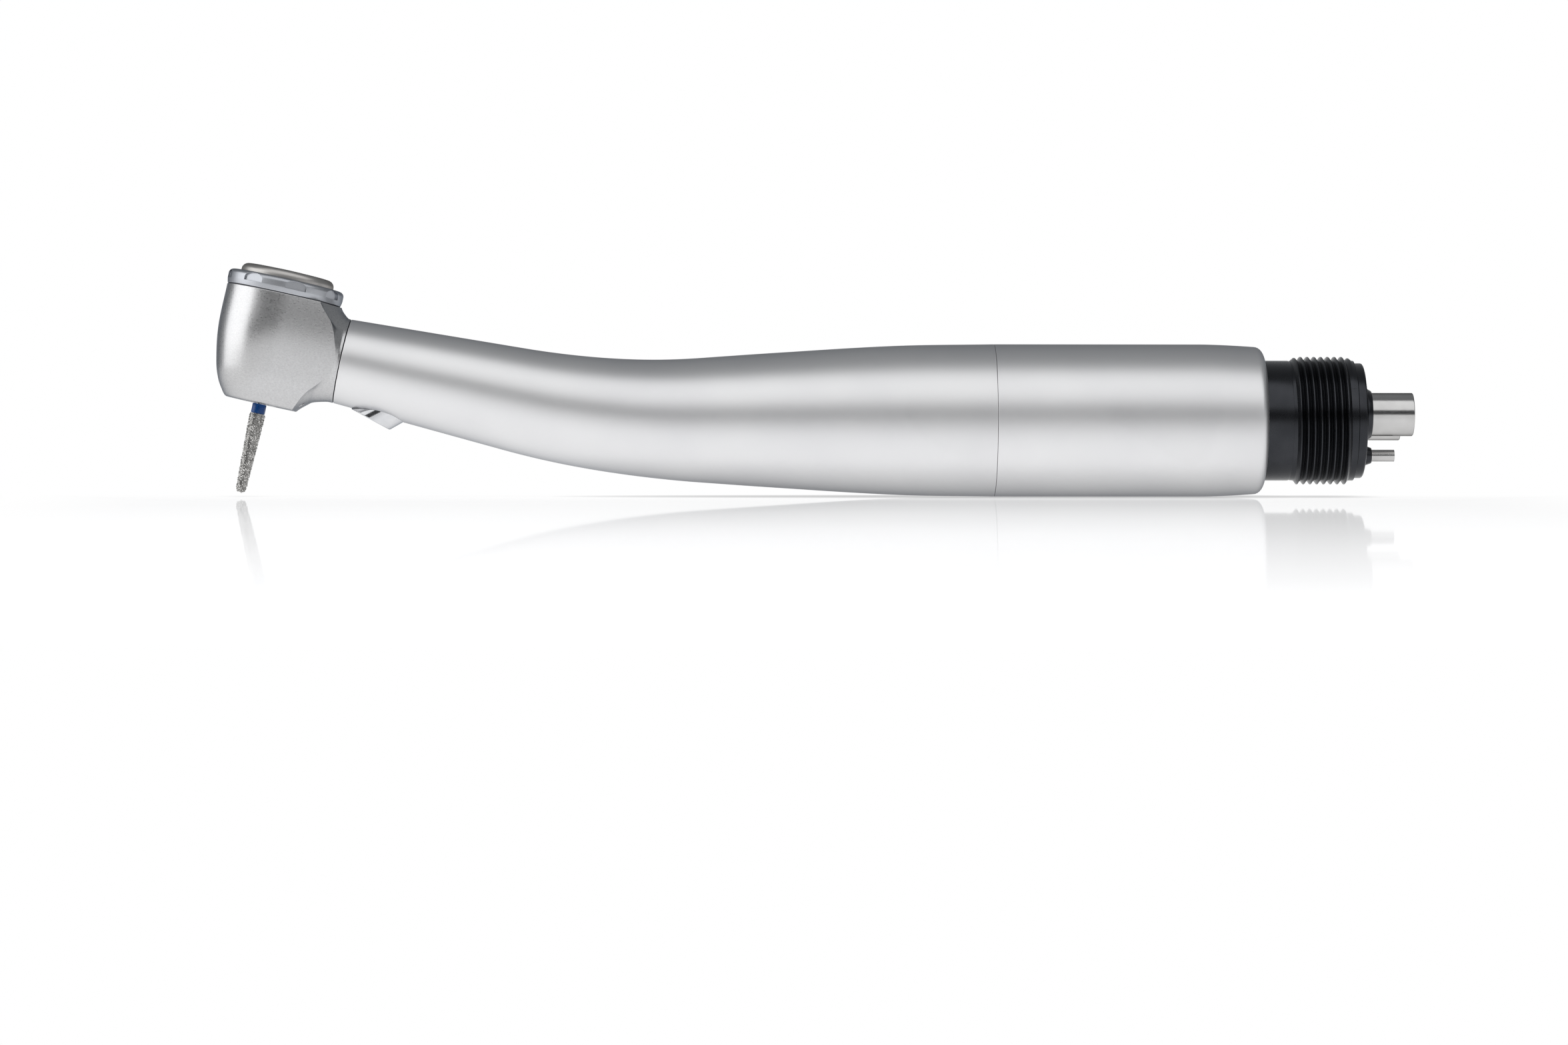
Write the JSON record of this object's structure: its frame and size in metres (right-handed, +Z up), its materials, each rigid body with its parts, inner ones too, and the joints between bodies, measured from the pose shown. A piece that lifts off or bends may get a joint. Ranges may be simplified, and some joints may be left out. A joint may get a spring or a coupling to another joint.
{
  "type": "dental handpiece",
  "caption": "Slim air turbine dental handpiece with angled neck, push button chuck head holding a diamond bur, a lamp under the neck and a threaded black hose connector.",
  "frame": {"origin": "middle of the connector's flat hose face", "axes": "+X along the handle towards the hose, +Z up, the bur end at -X with the bur pointing down"},
  "size_m": [0.1185, 0.0152, 0.0231],
  "materials": {
    "body_satin": "fine bead-blasted satin",
    "head_satin": "fine satin",
    "cap_satin": "smooth satin",
    "button_satin": "smooth satin",
    "lamp_chrome": "polished",
    "tube_steel": "polished",
    "connector_black": "black anodised, machined",
    "bur_steel": "polished",
    "bur_blue": "gloss blue",
    "bur_grit": "diamond grit in plating",
    "lens_clear": "clear",
    "led_board": "white board",
    "wire_red": "insulation",
    "wire_black": "insulation",
    "bearing_steel": "ground",
    "chuck_steel": "ground",
    "cage_resin": "moulded",
    "seal_rubber": "matt",
    "spring_steel": "drawn",
    "light_alloy": "machined",
    "coil_copper": "enamelled wire",
    "magnet_grey": "ground",
    "plate_resin": "moulded"
  },
  "bodies": {
    "handpiece": {"body_shell": "body_satin", "button_spring": "spring_steel", "connector": "connector_black", "connector_seal_ring": "seal_rubber", "drive_air_tube": "tube_steel", "drive_inlet_tube": "tube_steel", "exhaust_collar": "connector_black", "exhaust_tube": "tube_steel", "generator_cap": "light_alloy", "generator_coil": "coil_copper", "generator_front_plate": "plate_resin", "generator_housing": "light_alloy", "generator_rear_plate": "plate_resin", "head_cap": "cap_satin", "head_housing": "head_satin", "lamp_led": "led_board", "lamp_lens": "lens_clear", "lamp_sleeve": "lamp_chrome", "lamp_wire_1": "wire_red", "lamp_wire_2": "wire_black", "lower_bearing_outer": "bearing_steel", "lower_bearing_ring": "seal_rubber", "preload_washer": "spring_steel", "rear_sleeve": "body_satin", "spray_air_tube": "tube_steel", "upper_bearing_outer": "bearing_steel", "upper_bearing_ring": "seal_rubber", "water_collar": "connector_black", "water_tube": "tube_steel"},
    "turbine": {"spindle": "bearing_steel", "chuck": "chuck_steel", "turbine_wheel": "light_alloy", "lower_bearing_inner": "bearing_steel", "upper_bearing_inner": "bearing_steel"},
    "lower_cage": {"lower_bearing_cage": "cage_resin", "lower_ball_1": "bearing_steel", "lower_ball_2": "bearing_steel", "lower_ball_3": "bearing_steel", "lower_ball_4": "bearing_steel", "lower_ball_5": "bearing_steel", "lower_ball_6": "bearing_steel", "lower_ball_7": "bearing_steel"},
    "upper_cage": {"upper_bearing_cage": "cage_resin", "upper_ball_1": "bearing_steel", "upper_ball_2": "bearing_steel", "upper_ball_3": "bearing_steel", "upper_ball_4": "bearing_steel", "upper_ball_5": "bearing_steel", "upper_ball_6": "bearing_steel", "upper_ball_7": "bearing_steel"},
    "button": {"push_button": "button_satin"},
    "plunger": {"chuck_plunger": "bearing_steel"},
    "bur": {"bur_shank": "bur_steel", "bur_band": "bur_blue", "bur_diamond": "bur_grit"},
    "generator_rotor": {"generator_shaft": "bearing_steel", "generator_magnet": "magnet_grey", "generator_wheel": "light_alloy"}
  },
  "joints": [
    {"name": "turbine_spin", "type": "hinge", "parent": "handpiece", "child": "turbine", "pos_m": [-0.1095, 0, 0.00163], "axis": [0.2147, 0, 0.9767], "continuous": true},
    {"name": "lower_cage_spin", "type": "hinge", "parent": "handpiece", "child": "lower_cage", "pos_m": [-0.1095, 0, 0.00163], "axis": [0.2147, 0, 0.9767], "continuous": true},
    {"name": "upper_cage_spin", "type": "hinge", "parent": "handpiece", "child": "upper_cage", "pos_m": [-0.1095, 0, 0.00163], "axis": [0.2147, 0, 0.9767], "continuous": true},
    {"name": "button_press", "type": "slide", "parent": "handpiece", "child": "button", "axis": [-0.2147, 0, -0.9767], "range_m": [0, 0.0005], "stiffness_N_per_m": 300, "springref_m": -0.001, "deforming": ["button_spring"]},
    {"name": "plunger_slide", "type": "slide", "parent": "turbine", "child": "plunger", "axis": [-0.2147, 0, -0.9767], "range_m": [0, 0.00025]},
    {"name": "bur_release", "type": "slide", "parent": "turbine", "child": "bur", "axis": [-0.2147, 0, -0.9767], "range_m": [0, 0.0085]},
    {"name": "generator_spin", "type": "hinge", "parent": "handpiece", "child": "generator_rotor", "pos_m": [-0.023, 0.0029, -0.00038], "axis": [1, 0, 0], "continuous": true}
  ],
  "couplings": [
    {"joint": "lower_cage_spin", "follows": "turbine_spin", "ratio": 0.395},
    {"joint": "upper_cage_spin", "follows": "turbine_spin", "ratio": 0.395},
    {"joint": "plunger_slide", "follows": "button_press", "ratio": 0.5}
  ]
}
